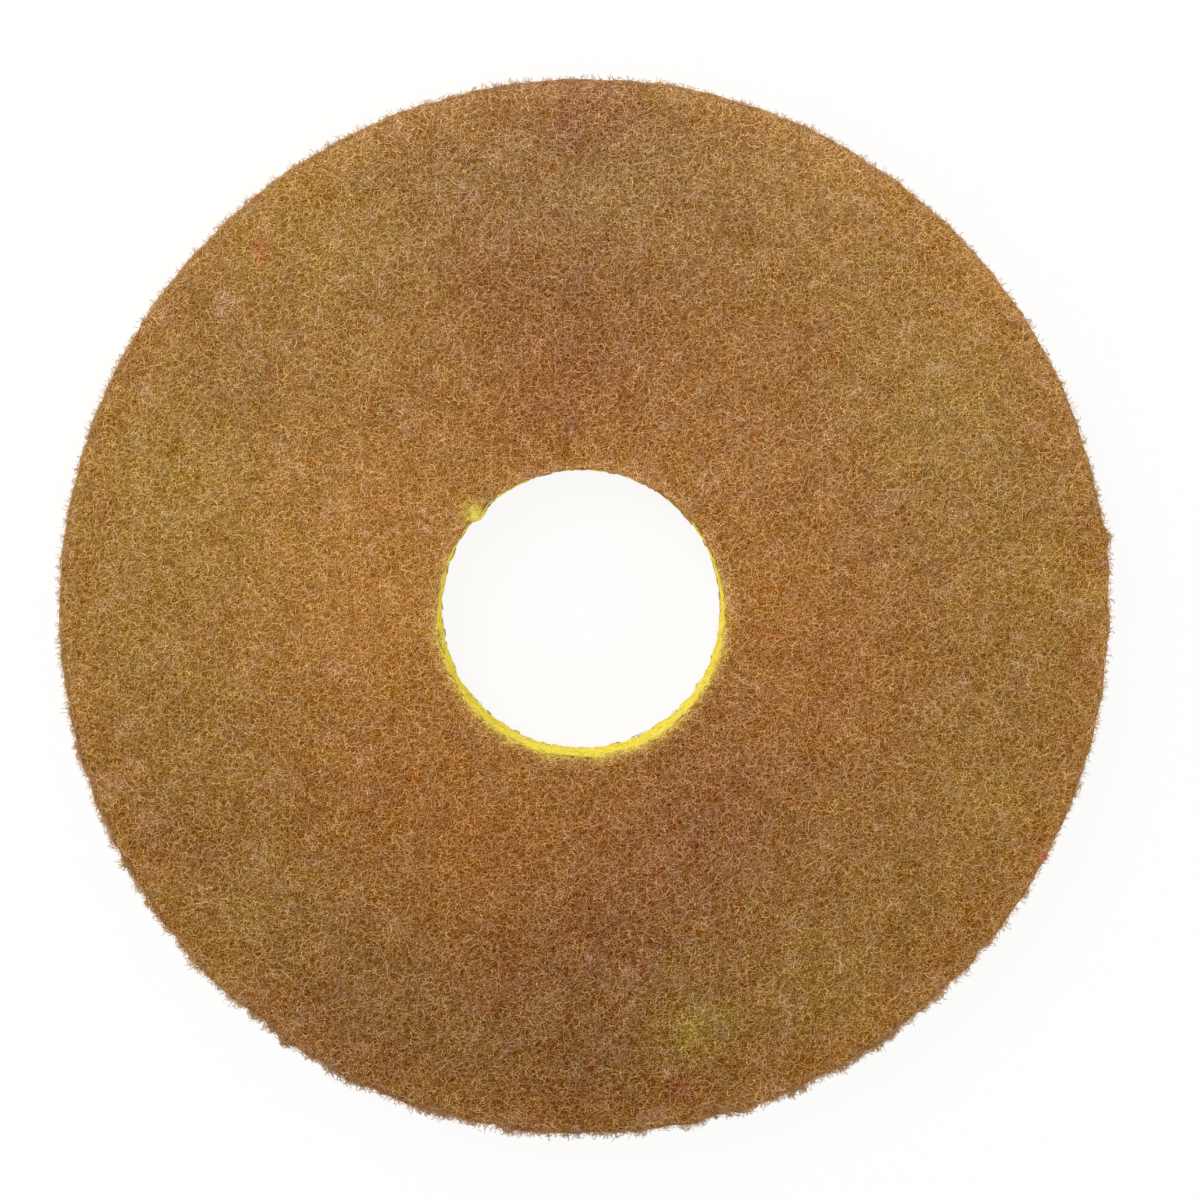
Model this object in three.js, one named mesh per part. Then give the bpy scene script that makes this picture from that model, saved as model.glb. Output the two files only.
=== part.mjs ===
// Floor polishing pad: one ring cut from a lofty non-woven fibre web, with the hole that centres it on a floor machine.
// It lies flat on its lower face. Millimetres, +Z up, origin at the centre of the lower face.
import * as THREE from "three";

// Driving sizes.
const padDiameter = 305;
const holeDiameter = 83;
const thickness = 25;

// The web springs back from the cutting die, which rounds the cut edges at both faces.
const rimLip = 2.6;
const holeLip = 2.2;
const lipSteps = 3;

// The cut disc is a little wider along one heading than across it.
const ovality = 0.55;
const ovalityHeading = 82;

// The hole's own die isn't quite centred on the disc: how far its centre lies off the pad's, and at which heading.
const holeOffset = 0.95;
const holeOffsetHeading = 180;

// The two ends of each cut miss each other and leave a small tag. Seen from above and going round clockwise, its edge
// steps out over a short step and eases back over a longer run. Headings are in degrees, anticlockwise from +X.
const rimTag = { heading: 9, height: 1.4, step: 3, run: 8 };
const holeTag = { heading: 138.5, height: 1.6, step: 2.2, run: 5 };

// Facets around the ring.
const facets = 216;

const rimRadius = padDiameter / 2;
const holeRadius = holeDiameter / 2;

// One rounded corner of the section, as points on a quarter circle that starts at the given number of quarter turns.
function lip(centreRadius, centreHeight, radius, quarters) {
  return Array.from({ length: lipSteps + 1 }, (_, i) => {
    const angle = (quarters + i / lipSteps) * (Math.PI / 2);
    return new THREE.Vector2(
      centreRadius + radius * Math.cos(angle),
      centreHeight + radius * Math.sin(angle),
    );
  });
}

// The ring's section: flat faces, straight cut walls and four lips, back to its first point.
function section() {
  const corners = [
    ...lip(rimRadius - rimLip, rimLip, rimLip, -1),
    ...lip(rimRadius - rimLip, thickness - rimLip, rimLip, 0),
    ...lip(holeRadius + holeLip, thickness - holeLip, holeLip, 1),
    ...lip(holeRadius + holeLip, holeLip, holeLip, 2),
  ];
  return [...corners, corners[0].clone()];
}

// How far a tag stands out of a cut edge of this radius at a heading: an eased rise from either side up to its tip.
function tagRise(tag, radius, heading) {
  const turn = heading - THREE.MathUtils.degToRad(tag.heading);
  const along = radius * Math.atan2(Math.sin(turn), Math.cos(turn));
  const reach = along > 0 ? tag.step : tag.run;
  const share = Math.max(0, 1 - Math.abs(along) / reach);
  return tag.height * share * share * (3 - 2 * share);
}

// How far the rim lies outside its nominal radius, and the hole's edge inside its own, at a heading.
function rimRise(heading) {
  const turn = heading - THREE.MathUtils.degToRad(ovalityHeading);
  return ovality * Math.cos(2 * turn) + tagRise(rimTag, rimRadius, heading);
}
function holeRise(heading) {
  const turn = heading - THREE.MathUtils.degToRad(holeOffsetHeading);
  return tagRise(holeTag, holeRadius, heading) - holeOffset * Math.cos(turn);
}

// Moves the turned ring's points in or out, so that its rim and its hole follow the real cuts and the web between follows both.
function followCuts(geometry) {
  const place = geometry.getAttribute("position");
  for (let i = 0; i < place.count; i += 1) {
    const x = place.getX(i);
    const y = place.getY(i);
    const radius = Math.hypot(x, y);
    const heading = Math.atan2(y, x);
    const outward = (radius - holeRadius) / (rimRadius - holeRadius);
    const moved = radius + outward * rimRise(heading) - (1 - outward) * holeRise(heading);
    place.setXY(i, (x * moved) / radius, (y * moved) / radius);
  }
  geometry.computeVertexNormals();
  return geometry;
}

// One web: the section turned about +Z, then led along the two cuts.
function padGeometry() {
  const ring = new THREE.LatheGeometry(section(), facets);
  return followCuts(ring.rotateX(Math.PI / 2));
}

// Brown resin and fine abrasive bond the yellow fibres of both faces.
const coatedWeb = new THREE.MeshStandardMaterial({ color: 0x9c7140, roughness: 0.95, metalness: 0 });

const floorPad = new THREE.Mesh(padGeometry(), coatedWeb);
floorPad.name = "floor_pad";

const pad = new THREE.Group();
pad.add(floorPad);

export default pad;
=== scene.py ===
# %% [markdown]
# # A floor polishing pad
# The real pad is one ring, punched from a thick mat of curly nylon fibres. The mat is dyed yellow all
# through. A brown resin with fine abrasive in it is then rolled onto both faces, so only the cut walls
# still show the yellow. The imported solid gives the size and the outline. Everything below dresses that
# outline in fibres.

import bpy
import numpy as np
from mathutils import Matrix, Vector


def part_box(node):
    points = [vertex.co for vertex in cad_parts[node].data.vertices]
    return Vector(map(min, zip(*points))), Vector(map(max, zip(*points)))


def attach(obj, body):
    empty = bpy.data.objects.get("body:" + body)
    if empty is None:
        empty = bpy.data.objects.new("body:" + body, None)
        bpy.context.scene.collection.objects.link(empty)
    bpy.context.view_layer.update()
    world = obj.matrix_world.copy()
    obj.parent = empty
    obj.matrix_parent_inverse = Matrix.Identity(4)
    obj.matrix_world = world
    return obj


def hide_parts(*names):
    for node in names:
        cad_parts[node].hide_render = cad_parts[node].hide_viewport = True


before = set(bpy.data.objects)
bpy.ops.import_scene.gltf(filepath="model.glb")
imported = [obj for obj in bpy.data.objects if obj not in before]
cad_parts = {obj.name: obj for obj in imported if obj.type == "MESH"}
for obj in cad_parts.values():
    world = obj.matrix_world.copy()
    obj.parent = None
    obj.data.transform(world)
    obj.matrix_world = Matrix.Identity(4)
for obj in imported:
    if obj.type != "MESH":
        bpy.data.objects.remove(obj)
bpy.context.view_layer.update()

MM = 0.001
low_corner, high_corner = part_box("floor_pad")
thickness = (high_corner.z - low_corner.z) / MM
print("ring is", round(thickness, 2), "mm thick")

# %% [markdown]
# The two cut outlines aren't true circles: the disc is slightly oval, and a small tag stands out where
# the ends of each cut miss each other. They could be typed in again here, but then two files would have
# to agree. Reading them off the solid's own points keeps the fibres on the real cuts, whatever those
# become.

# %% The two cut outlines, read off the solid
def points_of(mesh):
    """All the points of a mesh as rows of x, y, z in millimetres."""
    flat = np.empty(len(mesh.vertices) * 3, np.float32)
    mesh.vertices.foreach_get("co", flat)
    return flat.reshape(-1, 3).astype(float) / MM


solid = points_of(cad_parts["floor_pad"].data)
turn = 2 * np.pi
solid_reach = np.hypot(solid[:, 0], solid[:, 1])
solid_heading = (np.arctan2(solid[:, 1], solid[:, 0]) + 0.01) % turn - 0.01
order = np.argsort(solid_heading)
starts_facet = np.diff(solid_heading[order], prepend=-turn) > 0.001
facet = np.cumsum(starts_facet) - 1
cut_heading = solid_heading[order][starts_facet]
rim_cut = np.zeros(len(cut_heading))
hole_cut = np.full(len(cut_heading), np.inf)
np.maximum.at(rim_cut, facet, solid_reach[order])
np.minimum.at(hole_cut, facet, solid_reach[order])
rim_radius, hole_radius = np.median(rim_cut), np.median(hole_cut)
hole_middle = 2 * np.mean(hole_cut * np.stack([np.cos(cut_heading), np.sin(cut_heading)]), 1)


def rim_at(heading):
    """How far the outer cut lies from the axis at each heading, in millimetres."""
    return np.interp(heading, cut_heading, rim_cut, period=turn)


def hole_at(heading):
    """How far the inner cut lies from the axis at each heading, in millimetres."""
    return np.interp(heading, cut_heading, hole_cut, period=turn)


print("rim radius", round(rim_radius, 2), "hole radius", round(hole_radius, 2), "facets", len(cut_heading))
from_middle = hole_cut[:, None] * np.stack([np.cos(cut_heading), np.sin(cut_heading)], 1) - hole_middle
rim_tag, hole_tag = cut_heading[rim_cut.argmax()], cut_heading[np.hypot(*from_middle.T).argmin()]
print("the hole's centre is at", np.round(hole_middle, 2))
print("the tags are at", np.degrees([rim_tag, hole_tag]).round(1))

# %% [markdown]
# A web has lumps at every scale. A texture could only paint them, so the shapes below are moved by a
# smooth random field. A sum of plane waves in random directions is the simplest field that works on whole
# arrays and has one clear wavelength.

# %% Smooth random fields
def lumps(place, wavelength, seed, terms=24):
    """A smooth field over places: a sum of cosines of random direction and phase, with a spread of one."""
    rng = np.random.default_rng(seed)
    way = rng.normal(size=(terms, 3))
    way *= 2 * np.pi / wavelength / np.linalg.norm(way, axis=1, keepdims=True)
    way *= rng.uniform(0.7, 1.4, (terms, 1))
    phase = rng.uniform(0, 2 * np.pi, terms)
    return np.cos(place @ way.T + phase).sum(-1) * np.sqrt(2 / terms)


def ease(value, low, high):
    """Rises smoothly from 0 at low to 1 at high: three squares less two cubes of the share in between."""
    share = np.clip((value - low) / (high - low), 0, 1)
    return share * share * (3 - 2 * share)


# %% [markdown]
# The die presses the web down before it cuts, so the web springs back unevenly and neither cut is a clean
# curve. The rim is most ragged from the lower left round to the lower right. Every fibre and the ring
# behind them share the one uneven edge below, so that they keep together.

# %% The uneven edges
def ragged(heading):
    """How ragged the rim is at a heading, from a quarter to one, worst at the bottom."""
    worst = np.radians(262)
    return 0.25 + 0.75 * ease(np.cos(heading - worst), 0.0, 0.8)


def on_cut(heading, radius, height):
    """Places on the wall of a cut."""
    return np.stack(np.broadcast_arrays(radius * np.cos(heading), radius * np.sin(heading), height), -1)


def rim_edge(heading, height):
    """Where the rim really ends: its cut less a slight undercut, plus lumps as tall as it is ragged."""
    place = on_cut(heading, rim_radius, 0.3 * height)
    undercut = 0.8 * ease(np.minimum(height, thickness - height), 3.0, 7.0)
    unevenness = 0.32 * lumps(place, 13, 41) + 0.22 * lumps(place, 5, 42)
    return rim_at(heading) - undercut + ragged(heading) * unevenness


def hole_edge(heading, height):
    """Where the hole really starts: its cut, let back between the two lips, and slight lumps."""
    place = on_cut(heading, hole_radius, height)
    let_back = 0.25 * ease(np.minimum(height, thickness - height), 2.0, 6.0)
    return hole_at(heading) - 0.05 + let_back + 0.12 * lumps(place, 9, 43) + 0.10 * lumps(place, 4, 44)


# %% [markdown]
# The resin didn't take evenly. A tone of the coat is three numbers, all in steps of a screen's 255: how
# much lighter it is than the pad's middle brown, how much redder and how much yellower. It is redder
# round the hole and more olive further out. The tone is also paler towards the top and darker towards
# the bottom, and painted lighter in a band inside the rim and round the hole: painted light on the lips,
# where the faces round over. The rest is broad patches and a few small stains, placed one by one from
# the photo.

# %% Patches and stains of the coat
# x, y and radius in millimetres, then how much lighter, redder and yellower
patches = [
    (-74, 14, 44, 8, 1, 8),
    (-50, -2, 20, 3, 1, 2),
    (-62, -52, 24, -3, 3, 2),
    (-30, -76, 22, -2, 4, 4),
    (0, 82, 24, -11, 1, -5),
    (-28, 98, 13, -7, 3, -3),
    (-9, 58, 12, -4, 3, -3),
    (0, 132, 36, -7, -1, -9),
    (-2, 147, 14, -5, 4, -4),
    (-46, 120, 14, -5, 0, -4),
    (-82, 113, 22, 2, -3, 4),
    (-38, 72, 26, -4, 0, 0),
    (42, 86, 26, -4, 1, 0),
    (-100, 68, 12, -5, 0, -3),
    (-124, 40, 24, 4, -3, 5),
    (-140, -8, 22, 3, -2, 3),
    (-115, -70, 13, -4, 1, -3),
    (-100, -88, 15, 4, -3, 0),
    (-70, -122, 30, -6, -1, -8),
    (0, -128, 48, -8, -2, -9),
    (-3, -140, 14, -5, 3, 0),
    (-25, -107, 13, -4, 4, -2),
    (6, -92, 22, -5, 2, -4),
    (36, -60, 26, -7, 0, -8),
    (29, -122, 10, 7, -5, 10),
    (73, -107, 16, 3, -4, 2),
    (118, -54, 15, 6, -1, 4),
    (132, 10, 20, 3, -1, 5),
    (104, 56, 22, 5, -3, 3),
    (76, -20, 20, -1, 4, 2),
    (56, 8, 16, 2, 2, 4),
    (61, 77, 12, -3, 3, 0),
    (49, 110, 10, -5, 0, -3),
    (8, 118, 12, 5, -3, 3),
    (66, 118, 22, 4, 0, 1),
    (112, 92, 20, 3, 2, 4),
]

stains = [
    (-92.9, 105.2, 1.9, -6, 40, -8),
    (-92.0, 101.5, 1.4, 6, 20, -10),
    (-90.0, 66.5, 1.3, 0, 24, -10),
    (-85.5, 94.5, 1.5, 0, 14, -6),
    (133.8, -71.5, 1.3, -4, 30, -10),
    (54.4, -6.8, 1.6, 0, 22, 6),
    (27.8, -138.5, 4.0, -14, 12, -3),
    (2.5, -132.0, 2.2, -10, 10, -2),
    (127.7, 53.5, 2.0, 6, 12, -8),
    (143.3, 27.5, 1.4, -8, 14, -16),
    (-53.6, -20.4, 1.7, -4, -12, 20),
    (-76.7, 121.4, 1.4, -16, 10, 20),
    (30.7, -122.0, 3.2, 16, -9, 5),
    (35.0, -116.0, 2.0, 26, -8, -4),
    (42.8, -118.6, 3.0, 5, -8, 9),
    (14.0, -106.0, 2.2, 18, -4, -14),
    (6.5, -125.0, 2.2, 16, -2, -14),
    (60.0, -102.0, 2.2, 18, -4, -14),
    (-68.5, 96.0, 2.2, 14, -2, -12),
    (101.0, 71.0, 2.2, 14, -4, -10),
    (-36.6, 26.7, 1.5, 24, -6, -22),
]


def coat_tone_and_lip_light(place):
    """How much lighter, redder and yellower the coat is at each place, as three columns, with painted light
    on the lips.
    """
    reach = np.hypot(place[..., 0], place[..., 1])
    lighter = 0.065 * place[..., 1] + 2.0 * lumps(place, 16, 11) + 2.0 * lumps(place, 7, 12)
    from_hole = np.hypot(place[..., 0] - hole_middle[0], place[..., 1] - hole_middle[1]) - hole_radius
    # Painted light: lighter in a band inside the rim and round the hole's lip, where the face rounds over.
    lighter = lighter + 14.0 * ease(reach, rim_radius - 6, rim_radius) + 14.0 * ease(-from_hole, -4, 0)
    redder = 7.5 - 7.2 * ease(reach, 55, 125) + 4.0 * ease(reach, 130, 150)
    redder = redder + 0.8 * lumps(place, 12, 13) + 0.8 * lumps(place, 5, 15)
    yellower = 7.0 - 3.0 * ease(reach, 50, 80) + 3.0 * ease(reach, 132, 150)
    yellower = yellower + 1.2 * lumps(place, 12, 14) + 1.2 * lumps(place, 5, 16)
    tone = np.stack([lighter, redder, yellower], -1)
    pale, rusty = ease(lumps(place, 3.5, 17), 1.1, 2.3), ease(lumps(place, 4.5, 18), 1.3, 2.5)
    tone = tone + pale[..., None] * np.array([16, -2, -14]) + rusty[..., None] * np.array([-10, 8, 4])
    for x, y, radius, *step in patches + stains:
        near = np.exp(-((place[..., 0] - x) ** 2 + (place[..., 1] - y) ** 2) / radius**2)
        tone = tone + near[..., None] * np.array(step)
    return tone


# %% [markdown]
# The brown coat soaks in only a little way, so a cut wall goes from brown at each face to bare yellow
# within a few millimetres, and sooner in the hole than at the rim. The same rule serves the ring and
# every fibre, so it is one function of place. At the hole's lip and its tag some yellow also shows in the
# face itself.

# %% Where the coat gives way to bare fibre
hole_coat, rim_coat = 2.0, 5.5
tag_tip = hole_at(hole_tag) * np.array([np.cos(hole_tag), np.sin(hole_tag)])
tag_spots = [(*(1.09 * tag_tip), 3.2, 0.5), (*(1.01 * tag_tip), 2.6, 1.0)]


def bare(place):
    """How bare of coat each place is, from 0 to 1: more so deeper below a face and close to the hole."""
    depth = np.minimum(place[..., 2], thickness - place[..., 2]) + 0.20 * lumps(place, 5, 21)
    reach = np.hypot(place[..., 0], place[..., 1])
    past_hole = np.hypot(place[..., 0] - hole_middle[0], place[..., 1] - hole_middle[1]) - hole_radius
    from_hole = past_hole + 0.2 * lumps(place, 6, 22)
    far_side = ease(place[..., 1] / reach, -0.5, 0.7)
    coat = np.where(reach > rim_radius / 2, rim_coat, hole_coat * (1 + far_side))
    by_cut = np.maximum(ease(reach, rim_radius - 8, rim_radius - 3), ease(-past_hole, -5, -2))
    covered = 1 - by_cut * ease(depth, 0.5 * coat, 1.4 * coat)
    covered = covered * (1 - (0.7 - 0.6 * far_side) * ease(-from_hole, -2.2, 0.4))
    for x, y, radius, share in tag_spots:
        near = np.exp(-((place[..., 0] - x) ** 2 + (place[..., 1] - y) ** 2) / radius**2)
        covered = covered * (1 - share * near)
    return 1 - covered


# %% [markdown]
# Materials are sums of nodes. Written with the operators of Python they read like the formulas that they
# are. A small class holds one output socket and turns each operator into a Math node. Every other node
# comes from one method.

# %% Shader sums in Python
class Wire:
    """One output socket of a node, to be used in sums."""

    def __init__(self, nodes, socket):
        self.nodes, self.socket = nodes, socket

    def maths(self, operation, *values):
        return self.nodes.add("ShaderNodeMath", {"operation": operation}, dict(enumerate(values)))

    def __add__(self, other):
        return self.maths("ADD", self, other)

    def __sub__(self, other):
        return self.maths("SUBTRACT", self, other)

    def __mul__(self, other):
        return self.maths("MULTIPLY", self, other)

    def __rsub__(self, other):
        return self.maths("SUBTRACT", other, self)

    __radd__, __rmul__ = __add__, __mul__

    def most(self, other):
        return self.maths("MAXIMUM", self, other)

    def ease(self, low, high, start=0.0, end=1.0):
        """Goes smoothly from start to end as this value goes from low to high."""
        spans = {"Value": self, "From Min": low, "From Max": high, "To Min": start, "To Max": end}
        return self.nodes.add("ShaderNodeMapRange", {"interpolation_type": "SMOOTHSTEP"}, spans)


class Nodes:
    """The nodes of one new material or of the world."""

    def __init__(self, tree):
        self.tree = tree
        self.tree.nodes.clear()

    def add(self, kind, settings={}, values={}, output=0):
        """Adds a node with these settings and socket values or links, and returns one of its outputs."""
        node = self.tree.nodes.new(kind)
        for name, value in settings.items():
            if name == "stops":
                ramp = node.color_ramp.elements
                while len(ramp) < len(value):
                    ramp.new(0.5)
                for stop, (position, colour) in zip(ramp, value):
                    stop.position, stop.color = position, colour
            else:
                setattr(node, name, value)
        for name, value in values.items():
            if isinstance(value, Wire):
                self.tree.links.new(value.socket, node.inputs[name])
            else:
                node.inputs[name].default_value = value
        return Wire(self, node.outputs[output] if len(node.outputs) else None)

    def pair(self, map_name):
        """The two numbers of a map, as two outputs."""
        place = self.add("ShaderNodeUVMap", {"uv_map": map_name})
        first = self.add("ShaderNodeSeparateXYZ", {}, {0: place})
        return first, Wire(self, first.socket.node.outputs[1])

    def mix(self, share, start, end):
        """A colour this share of the way from start to end."""
        colours = {"Factor": share, 6: start, 7: end}
        return self.add("ShaderNodeMix", {"data_type": "RGBA"}, colours, output=2)


def new_material(name):
    """An empty material and its nodes."""
    material = bpy.data.materials.new(name)
    material.use_nodes = True
    return material, Nodes(material.node_tree)


# %% [markdown]
# The photo's fine detail is in brightness only: fibres and gaps differ by the same step in red, green and
# blue, as a screen shows them. So tones are summed as screen colours, and the light that they stand for
# is found last, by raising them to the screen's power. One step redder and one step yellower are chosen
# so that neither changes the brightness.

# %% Screen colours of the coat and of bare fibre
middle_brown = np.array([0.661, 0.503, 0.307])
bare_yellow = np.array([1.00, 0.935, 0.40])
darkest = 0.02
screen_step = 1.15 / 255
redder_by = np.array([0.644, -0.356, 0.144]) * screen_step
yellower_by = np.array([0.114, 0.114, -0.886]) * screen_step


def lit(nodes, screen):
    """The light behind a screen colour."""
    floor_level = {0: screen, 1: (darkest, darkest, darkest)}
    kept = nodes.add("ShaderNodeVectorMath", {"operation": "MAXIMUM"}, floor_level)
    return nodes.add("ShaderNodeGamma", {}, {"Color": kept, "Gamma": 2.2})


def vector_sum(nodes, *parts):
    """The sum of vectors; a plain number in it counts for all three channels."""
    total = parts[0]
    for part in parts[1:]:
        total = nodes.add("ShaderNodeVectorMath", {"operation": "ADD"}, {0: total, 1: part})
    return total


def scaled(nodes, vector, factor):
    """A vector times a number."""
    return nodes.add("ShaderNodeVectorMath", {"operation": "SCALE"}, {0: vector, "Scale": factor})


def finish_material(nodes, **sockets):
    """Ends a material in one Principled shader with these values or links on its sockets."""
    named = {name.replace("_", " "): value for name, value in sockets.items()}
    shader = nodes.add("ShaderNodeBsdfPrincipled", {}, named)
    nodes.add("ShaderNodeOutputMaterial", {}, {"Surface": shader})


# %% [markdown]
# The ring behind the fibres is what the eye sees between them: deeper fibres, dark gaps and grit. The
# hairs are painted lighter than the web between them and the gaps darker still, as painted shade where
# the web lies deeper. A Voronoi texture draws its cells' edges as straight lines of one width. Five such
# nets of different sizes, each drawn out and turned its own way, bent a little and faded here and there,
# look like a mat of crossing hairs. In two dimensions they render four times faster than in three, so
# they are read through a map of the ring that lies flat on the faces and is rolled off the walls.

# %% Finish of the ring: a mat of painted fibres with dark gaps
MAT_MAP = "mat_place"
# millimetres, but for how many times longer than wide a cell is, and the turn in radians from net to net
hair_width, smallest_cell, cell_growth = 0.16, 1.2, 0.25
drawn_out, turn_of_net = 2.2, 0.63
bend_size, fade_size, pore_size, grit_size = 2.5, 1.6, 1.4, 0.4
# screen levels from 0 to 1: of a hair, the painted shade of a gap and the grit, and what keeps their mean at
# the middle brown
hair_light, gap_shade, grit_light, mean_level = 0.31, 0.06, 0.45, 0.360


def painted_mat(name):
    """The finish of the ring: five nets of hairs over gaps of painted shade and grit, in the coat's tone or
    bare yellow.
    """
    material, nodes = new_material(name)
    place = nodes.add("ShaderNodeUVMap", {"uv_map": MAT_MAP})
    flat = {"noise_dimensions": "2D"}
    bends = {"Vector": place, "Scale": 1 / bend_size, "Detail": 0.0}
    bend = nodes.add("ShaderNodeTexNoise", flat, bends, output=1)
    bent = vector_sum(nodes, place, bend)
    mat = None
    for layer in range(5):
        size = smallest_cell + cell_growth * layer
        away, askew = (31 * layer, 17 * layer, 0), (0, 0, turn_of_net * layer)
        laid = {"Vector": bent, "Location": away, "Rotation": askew, "Scale": (drawn_out, 1, 1)}
        moved = nodes.add("ShaderNodeMapping", {"vector_type": "TEXTURE"}, laid)
        net = {"feature": "DISTANCE_TO_EDGE", "voronoi_dimensions": "2D"}
        from_edge = size * nodes.add("ShaderNodeTexVoronoi", net, {"Vector": moved, "Scale": 1 / size})
        fade = nodes.add("ShaderNodeTexNoise", flat, {"Vector": moved, "Scale": 1 / fade_size, "Detail": 0.0})
        hair = from_edge.ease(hair_width / 2, 0.02) * fade.ease(0.40, 0.55, 0.2, 1.0) * (1.0 - 0.14 * layer)
        mat = hair if mat is None else mat.most(hair)
    pores = nodes.add("ShaderNodeTexNoise", flat, {"Vector": place, "Scale": 1 / pore_size, "Detail": 0.0})
    # Painted shade: where the pore noise is low the web is darkened, as shade deep in a gap.
    pore_shade = pores.ease(0.48, 0.34)
    grit = nodes.add("ShaderNodeTexNoise", flat, {"Vector": place, "Scale": 1 / grit_size, "Detail": 0.0})
    lighter, bareness = nodes.pair("depth_of_tone")
    redder, yellower = nodes.pair("hue_of_tone")
    coat = vector_sum(nodes, tuple(middle_brown), scaled(nodes, tuple(redder_by), redder))
    coat = vector_sum(nodes, coat, scaled(nodes, tuple(yellower_by), yellower), lighter * screen_step)
    colour = nodes.mix(bareness, coat, (*bare_yellow, 1))
    # Painted shade: the web between the hairs is darker than they are, and darker still in the gaps.
    weave = hair_light * mat - gap_shade * pore_shade + grit_light * grit - mean_level
    weave = weave * bareness.ease(0.0, 1.0, 1.0, 0.35)
    bump = {"Strength": 0.5, "Distance": 0.4 * MM, "Height": pores}
    finish_material(
        nodes,
        Base_Color=lit(nodes, vector_sum(nodes, colour, weave)),
        Roughness=0.9,
        Specular_IOR_Level=0.0,
        Normal=nodes.add("ShaderNodeBump", {}, bump),
    )
    return material


# %% [markdown]
# A loose fibre is one strand of plastic with a dab of resin. Its tone changes from strand to strand and
# along it, not across it, so a map on each strand holds the tone directly. A map has two numbers: one is
# the lightness and the other picks a dye from a row that starts at bare yellow. The coat's hue needs two
# more numbers, so each strand takes the nearest of a few dozen coats that lie round the middle brown.
# With some chance in the choice, their mixture has the right hue.

# %% Finish of the loose fibres
STRAND_MAP = "OFBake"
# how much redder and yellower each coat of the row is, from next to the bare fibre to the far end
steps_of_red, steps_of_yellow = (-6, -2, 2, 6, 10), (-12, -6, 0, 6, 12)
row_of_coats = [(redder, yellower) for redder in steps_of_red for yellower in steps_of_yellow]
row_of_coats = np.array(row_of_coats + [(22, -8), (36, -8)])
first_coat = 0.3
coat_places = np.linspace(first_coat, 1.0, len(row_of_coats))


def coat_colour(redder, yellower):
    """The screen colour of a coat so much redder and yellower than the middle brown."""
    return middle_brown + redder * redder_by + yellower * yellower_by


def strand_finish(name):
    """The finish of a loose fibre: a dye from the row, made lighter or darker, both read from its map."""
    material, nodes = new_material(name)
    light, dye = nodes.pair(STRAND_MAP)
    stops = [(0.0, (*bare_yellow, 1))]
    stops += [(at, (*coat_colour(*coat), 1)) for at, coat in zip(coat_places, row_of_coats)]
    ramp = nodes.add("ShaderNodeValToRGB", {"stops": stops}, {"Fac": dye})
    colour = lit(nodes, vector_sum(nodes, ramp, light - 0.5))
    finish_material(nodes, Base_Color=colour, Roughness=0.8, Specular_IOR_Level=0.0)
    return material


def strand_tones(rng, line, lighter, spread):
    """Map places of strands: lightness at each point, and the dye, picked at the middle, bared by place."""
    count, points = line.shape[:2]
    tone = coat_tone_and_lip_light(line)
    own = lighter + rng.normal(0, spread, (count, 1)) + waves(rng, count, np.arange(points), 0.03, 5, 10)
    bareness = bare(line)
    # Painted light: bare fibre gets a little more lightness, against the shade at the lips of the cuts.
    light = 0.5 + (1 - bareness) * (tone[..., 0] * screen_step + own) + bareness * (0.03 + 0.4 * own)
    hue = tone[:, points // 2, 1:] + rng.normal(0, 1.5, (count, 2))
    distance = np.linalg.norm(hue[:, None] - row_of_coats, axis=-1)
    own_coat = coat_places[distance.argmin(1)][:, None]
    return np.stack([light, own_coat * (1 - bareness)], -1)


coated = strand_finish("fibre")


# %% [markdown]
# Meshes come from whole arrays: one of points, one of faces with four corners and, for closed ends, one
# with three.

# %% Arrays to a mesh
def new_piece(name, points, quads, triangles, material, maps):
    """Makes a mesh of points in millimetres and faces. Maps hold two numbers for each point or corner."""
    mesh = bpy.data.meshes.new(name)
    corners = np.concatenate([quads.ravel(), triangles.ravel()]).astype(np.int32)
    starts = np.concatenate([np.arange(len(quads)) * 4, len(quads) * 4 + np.arange(len(triangles)) * 3])
    mesh.vertices.add(len(points))
    mesh.loops.add(len(corners))
    mesh.polygons.add(len(starts))
    mesh.vertices.foreach_set("co", (points * MM).astype(np.float32).ravel())
    mesh.loops.foreach_set("vertex_index", corners)
    mesh.polygons.foreach_set("loop_start", starts.astype(np.int32))
    mesh.update(calc_edges=True)
    mesh.shade_smooth()
    for map_name, pairs in maps.items():
        layer = mesh.uv_layers.new(name=map_name)
        by_corner = pairs if len(pairs) == len(corners) else pairs[corners]
        layer.uv.foreach_set("vector", by_corner.astype(np.float32).ravel())
    mesh.materials.append(material)
    piece = bpy.data.objects.new(name, mesh)
    bpy.context.scene.collection.objects.link(piece)
    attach(piece, "root")
    print(name, "has", 2 * len(quads) + len(triangles), "triangles")
    return piece


# %% [markdown]
# The ring itself is the solid's section carried round the axis. It is set in by a millimetre at the
# faces, which the loose fibres on it fill, and hardly at all at the cuts. Its corners are tighter than
# the real lips, so that no light shows between it and the fibres there. The web isn't flat either, so
# every point then moves a little along its own normal.

# %% The ring
face_skin, wall_skin = 1.0, 0.1
rim_lip, hole_lip = 2.6, 2.2
tighter = 0.55


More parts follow.
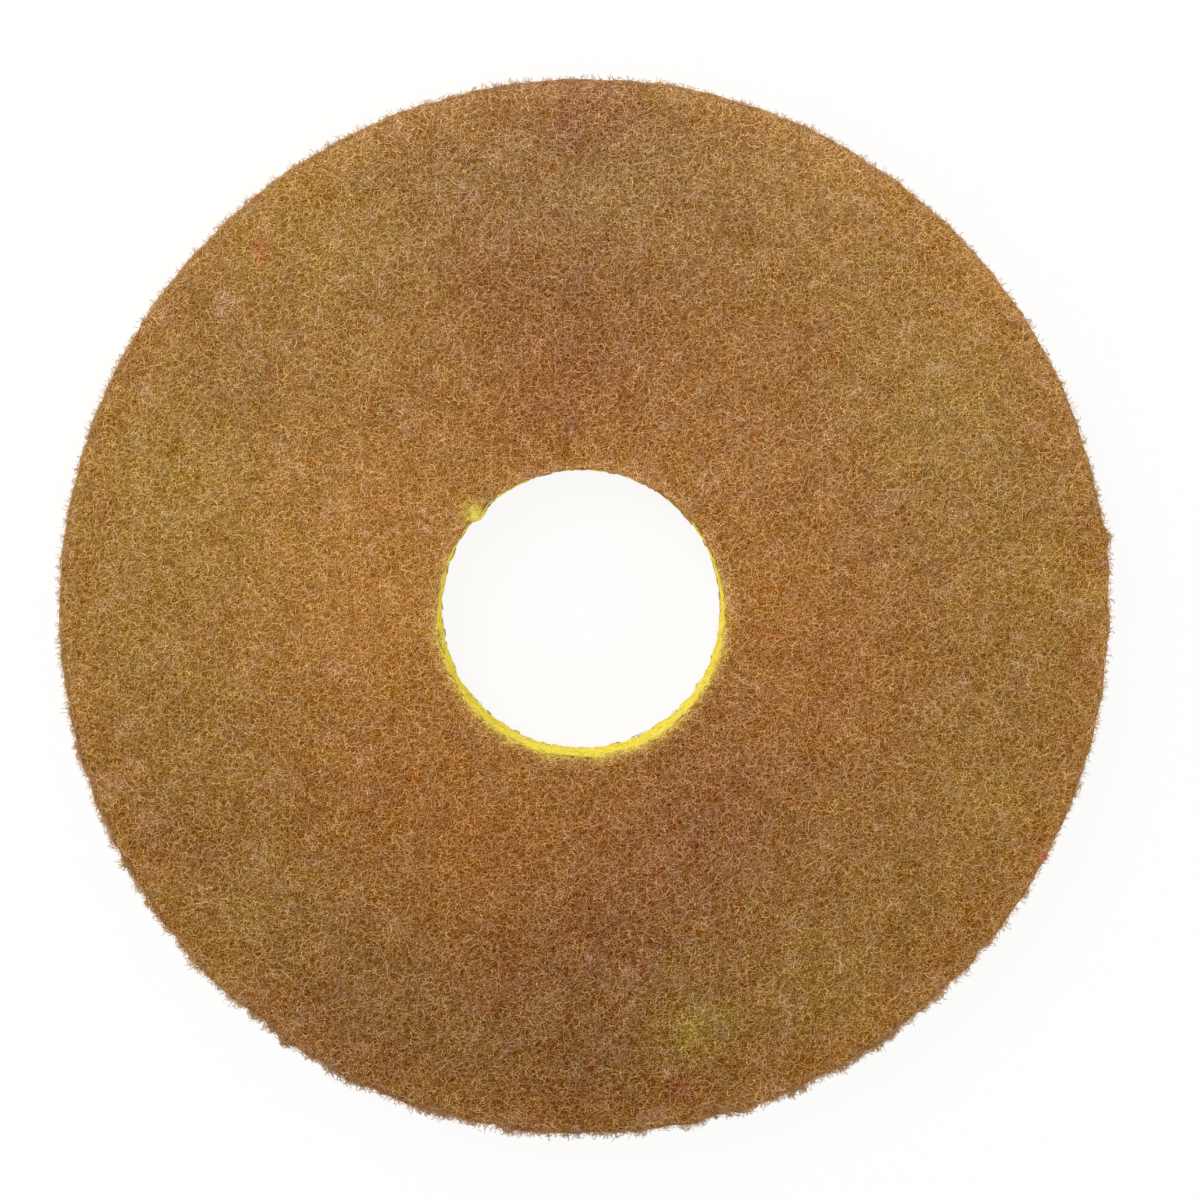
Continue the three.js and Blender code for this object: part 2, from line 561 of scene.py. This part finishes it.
def section(face_steps=36, wall_steps=11, lip_steps=3):
    """The section, once round, as rows of share of the way from hole to rim, offset outwards and height."""
    quarter = np.linspace(0, np.pi / 2, lip_steps + 1)
    low, high = face_skin, thickness - face_skin

    def arc(share, radius, side, height_side, angles):
        centre = low + radius if height_side < 0 else high - radius
        out = -side * (wall_skin + radius) + radius * np.cos(angles)
        return np.stack([np.full(len(angles), share), out, centre + radius * np.sin(angles)], 1)

    rim_low = arc(1, tighter * rim_lip, 1, -1, quarter - np.pi / 2)
    rim_high = arc(1, tighter * rim_lip, 1, 1, quarter)
    hole_high = arc(0, tighter * hole_lip, -1, 1, quarter + np.pi / 2)
    hole_low = arc(0, tighter * hole_lip, -1, -1, quarter + np.pi)

    def between(a, b, steps):
        return a[-1] + (b[0] - a[-1]) * np.linspace(0, 1, steps + 1)[1:-1, None]

    return np.concatenate(
        [
            rim_low,
            between(rim_low, rim_high, wall_steps),
            rim_high,
            between(rim_high, hole_high, face_steps),
            hole_high,
            between(hole_high, hole_low, wall_steps),
            hole_low,
            between(hole_low, rim_low, face_steps),
        ]
    )


def ring_grid(headings):
    """The section carried round: reach is the hole's cut, a share of the way to the rim's and the offset."""
    share, offset, height = section().T[:, :, None]
    hole, rim = hole_edge(headings, height), rim_edge(headings, height)
    reach = hole + share * (rim - hole) + offset
    return np.stack([reach * np.cos(headings), reach * np.sin(headings), height + 0 * reach], -1)


def grid_normals(grid):
    """Unit normals of a grid closed on itself both ways: the cross product of its central differences."""
    along = np.roll(grid, -1, 0) - np.roll(grid, 1, 0)
    round_it = np.roll(grid, -1, 1) - np.roll(grid, 1, 1)
    normal = np.cross(round_it, along)
    return normal / np.linalg.norm(normal, axis=-1, keepdims=True)


walls_away = 500


def unrolled(grid, headings):
    """Map places of each quad's corners: x and y on faces, way round and height, set far off, on walls."""
    steep = np.abs(grid_normals(grid)[..., 2:]) < 0.7
    reach = np.hypot(grid[..., 0], grid[..., 1])
    wall_radius = np.where(reach > rim_radius / 2, rim_radius, hole_radius)
    corners = []
    for down, onward in ((0, 0), (0, 1), (1, 1), (1, 0)):
        corner = np.roll(grid, (-down, -onward), (0, 1))
        heading = headings + onward * turn / len(headings)
        wall = np.stack([wall_radius * heading, walls_away + corner[..., 2]], -1)
        corners.append(np.where(steep, wall, corner[..., :2]))
    return np.stack(corners, 2).reshape(-1, 2)


headings = np.linspace(0, turn, 320, endpoint=False)
grid = ring_grid(headings)
loft = 0.10 * lumps(grid, 9, 31) + 0.10 * lumps(grid, 4.5, 32)
grid = grid + grid_normals(grid) * loft[..., None]
rows, columns = grid.shape[:2]
index = np.arange(rows * columns).reshape(rows, columns)
across, onward = np.roll(index, -1, 1), np.roll(index, -1, 0)
quads = np.stack([index, across, np.roll(onward, -1, 1), onward], -1).reshape(-1, 4)
no_triangles = np.empty((0, 3), int)
web_points = grid.reshape(-1, 3)
web_tone = coat_tone_and_lip_light(web_points)
maps = {"depth_of_tone": np.stack([web_tone[:, 0], bare(web_points)], -1), "hue_of_tone": web_tone[:, 1:]}
maps[MAT_MAP] = unrolled(grid, headings)
web = new_piece("web", web_points, quads, no_triangles, painted_mat("mat"), maps)
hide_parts("floor_pad")

# %% [markdown]
# Each loose fibre is a crimped thread. Its heading swings to and fro in two waves of different length
# while it drifts to one side, which gives the hooks and loose curls of real crimped nylon. Summing small
# steps along that heading gives its line, and a third wave lifts it over and under its neighbours. All
# fibres are worked out at once.

# %% Crimped threads as lines
def waves(rng, count, travel, size, low, high):
    """A sine wave along each thread, of random size, wavelength and phase."""
    wavelength = rng.uniform(low, high, (count, 1))
    phase = rng.uniform(0, 2 * np.pi, (count, 1))
    return size * rng.uniform(0.6, 1.4, (count, 1)) * np.sin(2 * np.pi * travel / wavelength + phase)


def crimped(rng, count, steps, step, rise, start=None, curl=1.0):
    """Threads as lines of sideways, forwards and up about their middles, or from a start if it is given."""
    travel = np.arange(steps + 1) * step
    first = rng.uniform(0, 2 * np.pi, (count, 1)) if start is None else start
    drift = rng.normal(0, 0.20, (count, 1))
    crimp = waves(rng, count, travel * curl, 0.85, 4, 8) + waves(rng, count, travel * curl, 0.35, 2.5, 4)
    heading = first + drift * travel + crimp * curl
    moves = np.stack([np.cos(heading), np.sin(heading)], -1)[:, :-1] * step
    line = np.concatenate([np.zeros((count, 1, 2)), np.cumsum(moves, 1)], 1)
    if start is None:
        line = line - line.mean(1, keepdims=True)
    up = waves(rng, count, travel, rise, 5, 11)
    return np.concatenate([line, up[..., None]], -1)


# %% [markdown]
# A line becomes a thread with three sides, which at a fifth of a millimetre looks round and costs few
# faces. Its ends are closed by one triangle each.

# %% Lines to closed threads
def threads(name, line, facing, width, tones, material):
    """Makes closed three-sided threads: around each point of a line, three points at half its width."""
    count, points = line.shape[:2]
    along = np.gradient(line, axis=1)
    along /= np.linalg.norm(along, axis=-1, keepdims=True) + 1e-9
    across = np.cross(along, facing)
    across /= np.linalg.norm(across, axis=-1, keepdims=True) + 1e-9
    lift = np.cross(across, along)
    side_angle = (np.arange(3) * 2 / 3 * np.pi)[:, None]
    thin = np.minimum(1, 0.35 + np.minimum(np.arange(points), np.arange(points)[::-1]) * 0.65)
    half = (width[:, None] * thin / 2)[..., None, None]
    sideways, upwards = np.cos(side_angle) * across[:, :, None], np.sin(side_angle) * lift[:, :, None]
    ring = line[:, :, None] + half * (sideways + upwards)
    index = np.arange(count * points * 3).reshape(count, points, 3)
    here, ahead = index[:, :-1], index[:, 1:]
    sides = np.stack([here, ahead, np.roll(ahead, -1, 2), np.roll(here, -1, 2)], -1).reshape(-1, 4)
    ends = np.concatenate([index[:, 0], index[:, -1, ::-1]])
    # Three map points a little apart keep every face of the map from being a line.
    apart = np.array([(0, 0), (1.5, 0), (0, 1.5)]) / 1024
    tones = np.clip(tones[:, :, None] + apart, 0.002, 0.998)
    return new_piece(name, ring.reshape(-1, 3), sides, ends, material, {STRAND_MAP: tones.reshape(-1, 2)})


# %% [markdown]
# On the faces the threads lie almost flat. Their middles are spread as the seeds of a sunflower are, with
# some jitter, so they are dense everywhere without clumping. Where a thread would cross a cut it is
# folded back at it, which is how the web's own loops close at the edge.

# %% Threads on the two faces
def spread_on_ring(rng, count, jitter):
    """Places over the ring, each turned by the golden angle from the last, with equal areas between them."""
    golden_angle = np.pi * (3 - np.sqrt(5))
    share = (np.arange(count) + 0.5) / count
    innermost = hole_radius - np.hypot(*hole_middle)
    reach = np.sqrt(innermost**2 + share * (rim_radius**2 - innermost**2))
    heading = np.arange(count) * golden_angle + rng.uniform(0, 2 * np.pi)
    place = np.stack([reach * np.cos(heading), reach * np.sin(heading)], -1)
    return place + rng.normal(0, jitter, place.shape)


def folded_in(place, slack):
    """Mirrors what lies past a cut back inside it, with some slack of its own for each thread."""
    reach = np.hypot(place[..., 0], place[..., 1])
    heading = np.arctan2(place[..., 1], place[..., 0])
    rim, hole = rim_edge(heading, thickness) - 0.4 + slack, hole_edge(heading, thickness) + 0.4 - slack
    inside = rim - np.abs(rim - reach)
    inside = hole + np.abs(inside - hole)
    place = place * (inside / reach)[..., None]
    middle = (place[:, :-2] + place[:, 1:-1] * 2 + place[:, 2:]) / 4
    return np.concatenate([place[:, :1], middle, place[:, -1:]], 1)


def lip_drop(place):
    """How far the face has dropped at each place near a cut, where it rounds over into the wall."""
    reach = np.hypot(place[..., 0], place[..., 1])
    heading = np.arctan2(place[..., 1], place[..., 0])
    from_rim = np.clip(1 - (rim_at(heading) - reach) / rim_lip, 0, 1)
    from_hole = np.clip(1 - (reach - hole_at(heading)) / hole_lip, 0, 1)
    return rim_lip * (1 - np.sqrt(1 - from_rim**2)) + hole_lip * (1 - np.sqrt(1 - from_hole**2))


def face_threads(name, seed, count, depth, rise, lighter, upper=True, steps=7, step=1.15, width=0.15):
    """Threads that lie about this deep in a face, weave up and down by the rise and follow its lips."""
    rng = np.random.default_rng(seed)
    line = crimped(rng, count, steps, step, rise, curl=1.15)
    slack = rng.normal(0.1, 0.45, (count, 1))
    flat = folded_in(spread_on_ring(rng, count, 2.0)[:, None] + line[..., :2], slack)
    sunk = depth + rng.uniform(-0.15, 0.15, (count, 1)) - line[..., 2] + 0.8 * lip_drop(flat)
    height = thickness - sunk if upper else sunk
    line = np.concatenate([flat, np.clip(height, 0.2, thickness + 0.3)[..., None]], -1)
    tones = strand_tones(rng, line, lighter, 0.035)
    # Painted shade: a thread is darker where it sinks deeper into the face.
    tones[..., 0] -= 0.05 * ease(sunk, 0.0, 1.2)
    facing = np.broadcast_to((0.0, 0.0, 1.0 if upper else -1.0), line.shape)
    widths = width * rng.uniform(0.7, 1.25, count)
    return threads(name, line, facing, widths, tones, coated)


coarser = {"steps": 6, "step": 1.35}
# Painted shade: the deeper a layer of threads lies, the darker its tone.
face_threads("upper_fibres_deep", 101, 4300, 0.80, 0.30, 0.07, **coarser)
face_threads("upper_fibres_middle", 102, 4300, 0.60, 0.35, 0.11, **coarser)
face_threads("upper_fibres_top", 103, 4300, 0.40, 0.40, 0.22)
face_threads("lower_fibres", 104, 1200, 0.60, 0.20, 0.07, upper=False)


# %% [markdown]
# On the two cut walls the same threads are wrapped round the axis. They are bare yellow nylon but for a
# brown edge at each face.

# %% Threads on the rim and in the hole
def wall_threads(name, seed, count, outside, margin, steps=8, step=1.4, width=0.27, rise=0.25):
    """Threads laid out flat as (way round, height, depth) and wrapped onto a cut wall."""
    rng = np.random.default_rng(seed)
    radius, edge, lip = (rim_radius, rim_edge, rim_lip) if outside else (hole_radius, hole_edge, hole_lip)
    line = crimped(rng, count, steps, step, rise)
    heading = np.arange(count)[:, None] / count * turn + line[..., 0] / radius
    low, high = margin, thickness - margin
    height = rng.uniform(low, high, (count, 1)) + line[..., 1]
    height = low + np.abs(high - np.abs(high - height) - low)
    near_face = np.clip(1 - np.minimum(height, thickness - height) / lip, 0, 1)
    sunk = 0.2 + line[..., 2] + rng.uniform(-0.2, 0.2, (count, 1))
    sunk = sunk + 0.8 * lip * (1 - np.sqrt(1 - near_face**2))
    side = 1 if outside else -1
    reach = edge(heading, height) - side * sunk
    line = on_cut(heading, reach, height)
    facing = on_cut(heading, side, 0.0)
    tones = strand_tones(rng, line, 0.03, 0.04)
    return threads(name, line, facing, width * rng.uniform(0.7, 1.25, count), tones, coated)


wall_threads("rim_fibres", 201, 2000, True, 2.0)
wall_threads("hole_fibres", 202, 900, False, 0.9)


# %% [markdown]
# Where the die has torn rather than cut, clumps of short, tight curls stand out of the rim's upper edge
# by up to two millimetres, with a short stubble between them. A tuft is a handful of curls from one root,
# and the tufts come in clumps, so their roots are kept only where a smooth field along the rim is high.

# %% Stubble and tufts along the rim, and tufts at the two tags
def edge_threads(name, seed, roots, outside, depth, reach_out, curls, steps, step, width, inset=0.8):
    """Short threads that start just inside a cut's upper edge, at these headings, and curl outwards."""
    rng = np.random.default_rng(seed)
    radius, edge = (rim_radius, rim_edge) if outside else (hole_radius, hole_edge)
    count = len(roots) * curls
    heading = np.repeat(roots, curls)[:, None] + rng.normal(0, 0.4, (count, 1)) / radius
    line = crimped(rng, count, steps, step, 0.4, start=rng.normal(0, 1.0, (count, 1)), curl=1.6)
    line[..., :2] += rng.normal(0, 0.2, (count, 1, 2))
    heading = heading + line[..., 1] / radius
    out = line[..., 0] * np.repeat(reach_out, curls)[:, None] - inset
    height = thickness - np.repeat(depth, curls)[:, None] - 0.5 * np.maximum(out, -1.0) + line[..., 2]
    height = height + rng.uniform(-0.6, 0.3, (count, 1))
    reach = edge(heading, height) + (out if outside else -out)
    line = on_cut(heading, reach, np.clip(height, 0.3, thickness - 0.1))
    # Painted light: these short threads are lighter than those on the walls, against the shade along the
    # cuts' upper edges.
    tones = strand_tones(rng, line, 0.08, 0.05)
    facing = np.broadcast_to((0.0, 0.0, 1.0), line.shape)
    return threads(name, line, facing, width * rng.uniform(0.7, 1.2, count), tones, coated)


edge_rng = np.random.default_rng(300)
stubble_count, tuft_tries = 5000, 2600
stubble = edge_rng.uniform(0, turn, stubble_count)
how_deep = edge_rng.uniform(0.3, 1.8, stubble_count)
how_far = edge_rng.uniform(0.7, 1.4, stubble_count)
short = {"curls": 1, "steps": 3, "step": 0.8, "width": 0.20, "inset": 1.0}
edge_threads("rim_stubble", 301, stubble, True, how_deep, how_far, **short)
tufts = edge_rng.uniform(0, turn, tuft_tries)
clumped = ease(lumps(on_cut(tufts, rim_radius, 0.0), 8, 45), -0.2, 1.0)
tufts = tufts[edge_rng.uniform(0, 1, tuft_tries) < ragged(tufts) ** 2 * (0.25 + 0.75 * clumped)]
how_far = edge_rng.uniform(0.7, 1.4, len(tufts)) * (0.5 + 0.5 * ragged(tufts))
how_deep = np.full(len(tufts), 0.9)
edge_threads("rim_tufts", 302, tufts, True, how_deep, how_far, curls=4, steps=5, step=0.6, width=0.20)
for name, seed, outside, roots, far in (
    ("rim_tag_tuft", 303, True, rim_tag + np.array([0.0, 0.004, -0.006]), 1.1),
    ("hole_tag_tuft", 304, False, hole_tag + np.array([0.0, 0.01, -0.01, -0.02]), 0.7),
):
    depth, how_far = np.full(len(roots), 1.4), np.full(len(roots), far)
    edge_threads(name, seed, roots, outside, depth, how_far, curls=6, steps=5, step=0.5, width=0.24)

# %% [markdown]
# A plain white floor and soft, even light keep the eye on the web. The floor's white is part glow and
# part real surface: the glow makes the background white for the camera, and the real part still takes the
# pad's soft shadow.

# %% Floor, backdrop and light
floor_mesh = bpy.data.meshes.new("floor")
side = 3.0
floor_corners = [(-side, -side, 0), (side, -side, 0), (side, side, 0), (-side, side, 0)]
floor_mesh.from_pydata(floor_corners, [], [(0, 1, 2, 3)])
floor = bpy.data.objects.new("floor", floor_mesh)
bpy.context.scene.collection.objects.link(floor)


def seen_directly(nodes):
    """One for rays that come from the eye, also by way of gloss or glass, and nought for all others."""
    path = nodes.add("ShaderNodeLightPath", output="Is Camera Ray")
    outputs = path.socket.node.outputs
    glossy, passed_on = Wire(nodes, outputs["Is Glossy Ray"]), Wire(nodes, outputs["Is Transmission Ray"])
    return path.most(glossy).most(passed_on)


floor_material, nodes = new_material("floor")
paper = nodes.add("ShaderNodeBsdfDiffuse", {}, {"Color": (0.97, 0.97, 0.97, 1)})
glow = nodes.add("ShaderNodeEmission", {}, {"Color": (1, 1, 1, 1), "Strength": 1.0})
white = nodes.add("ShaderNodeMixShader", {}, {0: 0.88 * seen_directly(nodes), 1: paper, 2: glow})
nodes.add("ShaderNodeOutputMaterial", {}, {"Surface": white})
floor_mesh.materials.append(floor_material)

world = bpy.data.worlds.new("studio")
bpy.context.scene.world = world
world.use_nodes = True
nodes = Nodes(world.node_tree)
sky_level = 0.84
strength = sky_level + (1 - sky_level) * seen_directly(nodes)
sky = nodes.add("ShaderNodeBackground", {}, {"Color": (1, 1, 1, 1), "Strength": strength})
nodes.add("ShaderNodeOutputWorld", {}, {"Surface": sky})


def softbox(name, place, size, power):
    """A square lamp that faces the pad."""
    lamp = bpy.data.lights.new(name, "AREA")
    lamp.shape, lamp.size, lamp.energy = "SQUARE", size, power
    box = bpy.data.objects.new(name, lamp)
    box.location = place
    box.rotation_euler = (-Vector(place)).to_track_quat("-Z", "Y").to_euler()
    bpy.context.scene.collection.objects.link(box)


softbox("key", (-0.75, 0.9, 1.5), 0.9, 10)
bpy.context.scene.view_settings.view_transform = "Standard"

# %% [markdown]
# The photo looks almost straight down. How the hole's wall shows on one side gives the camera's place:
# about 0.66 metres above the face and 40 millimetres off the axis. It is turned to put the pad at its
# height in the photo, and its lens is shifted to put it as far to the left.

# %% Camera
photo_side = 1200
pad_in_photo, pad_width_in_photo = (584.3, 613.6), 1058
mm_per_pixel = 2 * rim_radius / pad_width_in_photo
eye_height, eye_forward = 661, 40
below_middle = (pad_in_photo[1] - photo_side / 2) * mm_per_pixel
target = Vector((0, below_middle, thickness)) * MM
eye = Vector((0, eye_forward, thickness + eye_height)) * MM
lens = bpy.data.cameras.new("camera")
camera = bpy.data.objects.new("camera", lens)
back = (eye - target).normalized()
right = Vector((0, 1, 0)).cross(back).normalized()
turned = Matrix((right, back.cross(right), back)).transposed().to_4x4()
camera.matrix_world = Matrix.Translation(eye) @ turned
lens.sensor_width = 36
lens.shift_x = 0.5 - pad_in_photo[0] / photo_side
lens.lens = lens.sensor_width * (eye - target).length / (photo_side * mm_per_pixel * MM)
bpy.context.scene.collection.objects.link(camera)
bpy.context.scene.camera = camera
print("lens", round(lens.lens, 1), "mm")
